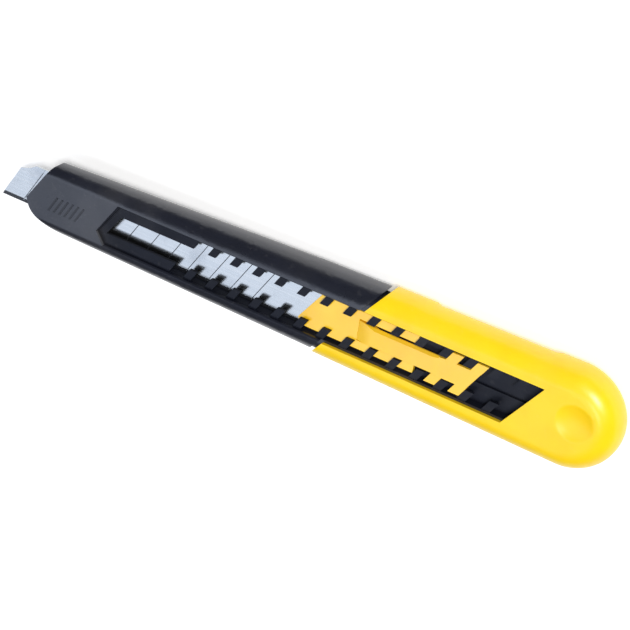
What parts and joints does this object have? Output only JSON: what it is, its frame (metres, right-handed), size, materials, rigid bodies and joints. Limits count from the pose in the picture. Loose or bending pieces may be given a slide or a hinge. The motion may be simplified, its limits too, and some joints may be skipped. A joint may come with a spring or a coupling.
{
  "type": "snap-off utility knife",
  "caption": "Slim slide-lock utility knife: black windowed body, scored snap-off blade, yellow slider with a locking tongue, and a yellow pull-off rear sleeve.",
  "frame": {"origin": "on the supporting plane, under the middle of the whole length with the blade tip included, on the blade's centre line", "axes": "+X from the nose to the rounded rear end, +Y towards the blade's spine, +Z out of the face with the window"},
  "size_m": [0.136, 0.02, 0.0086],
  "materials": {
    "black_shell": "satin moulded, fine grain",
    "yellow_sleeve": "smooth moulded, half gloss",
    "yellow_slider": "smooth moulded, half gloss",
    "blade_steel": "ground and polished, scored"
  },
  "bodies": {
    "body": {"front_body": "black_shell"},
    "sleeve": {"rear_sleeve": "yellow_sleeve"},
    "slider": {"slider_carrier": "yellow_slider", "blade": "blade_steel"},
    "tongue": {"lock_tongue": "yellow_slider"}
  },
  "joints": [
    {"name": "sleeve_pull", "type": "slide", "parent": "body", "child": "sleeve", "axis": [1, 0, 0], "range_m": [0, 0.06]},
    {"name": "blade_slide", "type": "slide", "parent": "body", "child": "slider", "axis": [-1, 0, 0], "range_m": [-0.01, 0.05]},
    {"name": "thumb_press", "type": "hinge", "parent": "slider", "child": "tongue", "pos_m": [0.0159, 0, 0.00653], "axis": [0, 1, 0], "range_deg": [0, 2.8], "stiffness_Nm_per_rad": 0.6}
  ]
}
